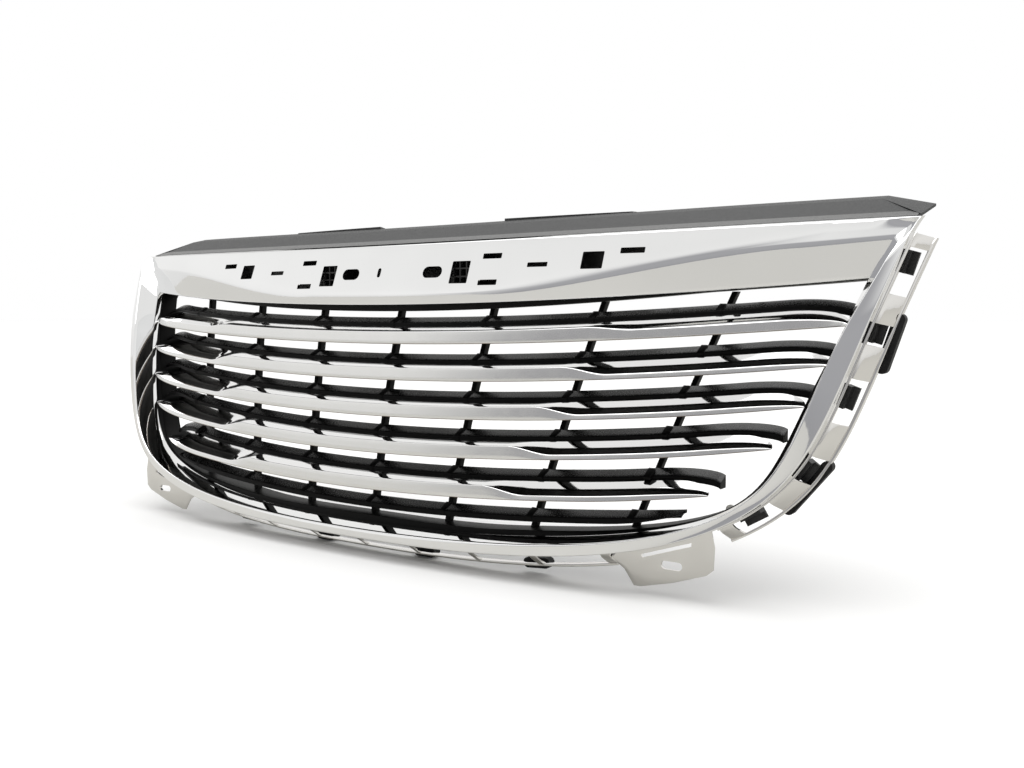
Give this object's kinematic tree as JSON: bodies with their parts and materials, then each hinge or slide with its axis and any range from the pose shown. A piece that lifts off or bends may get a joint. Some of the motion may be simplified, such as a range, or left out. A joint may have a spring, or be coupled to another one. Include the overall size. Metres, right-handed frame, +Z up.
{
  "type": "front grille",
  "caption": "Curved front grille: chrome surround, black grid of ribs and rails, horizontal chrome blades, grained top cover and snap flange",
  "frame": {"origin": "middle of the line through the two inner top fixing holes, on the top face of their tabs", "axes": "+X to the right of a person facing the grille, +Y into the vehicle, +Z up"},
  "size_m": [1.1494, 0.2351, 0.3873],
  "materials": {
    "surround_chrome": "bright mirror chrome plating on moulded plastic",
    "blade_chrome": "chrome plating, slightly satin on the front faces",
    "grid_black": "satin to gloss black moulded plastic",
    "grained_black": "dark grey-black plastic with a fine moulded grain",
    "carrier_black": "plain black moulded plastic",
    "pad_black": "dull black, soft looking",
    "zinc_steel": "zinc plated steel"
  },
  "bodies": {
    "root": {"surround": "surround_chrome", "flange_left": "surround_chrome", "flange_right": "surround_chrome", "flange_bottom": "surround_chrome", "tongue_left": "surround_chrome", "tongue_right": "surround_chrome", "grid_frame": "grid_black", "grid_ribs": "grid_black", "top_cover": "grained_black", "cover_tabs": "grained_black", "header_carrier": "carrier_black", "emblem_sockets": "carrier_black", "pad_upper_left": "pad_black", "pad_upper_right": "pad_black", "pad_lower_left": "pad_black", "pad_lower_right": "pad_black", "bottom_pads": "pad_black", "snap_clips": "carrier_black", "grid_screws": "zinc_steel", "carrier_screws": "zinc_steel", "rail_1": "grid_black", "blade_1": "blade_chrome", "rail_2": "grid_black", "blade_2": "blade_chrome", "rail_3": "grid_black", "blade_3": "blade_chrome", "rail_4": "grid_black", "blade_4": "blade_chrome", "rail_5": "grid_black", "blade_5": "blade_chrome", "rail_6": "grid_black"}
  },
  "joints": []
}
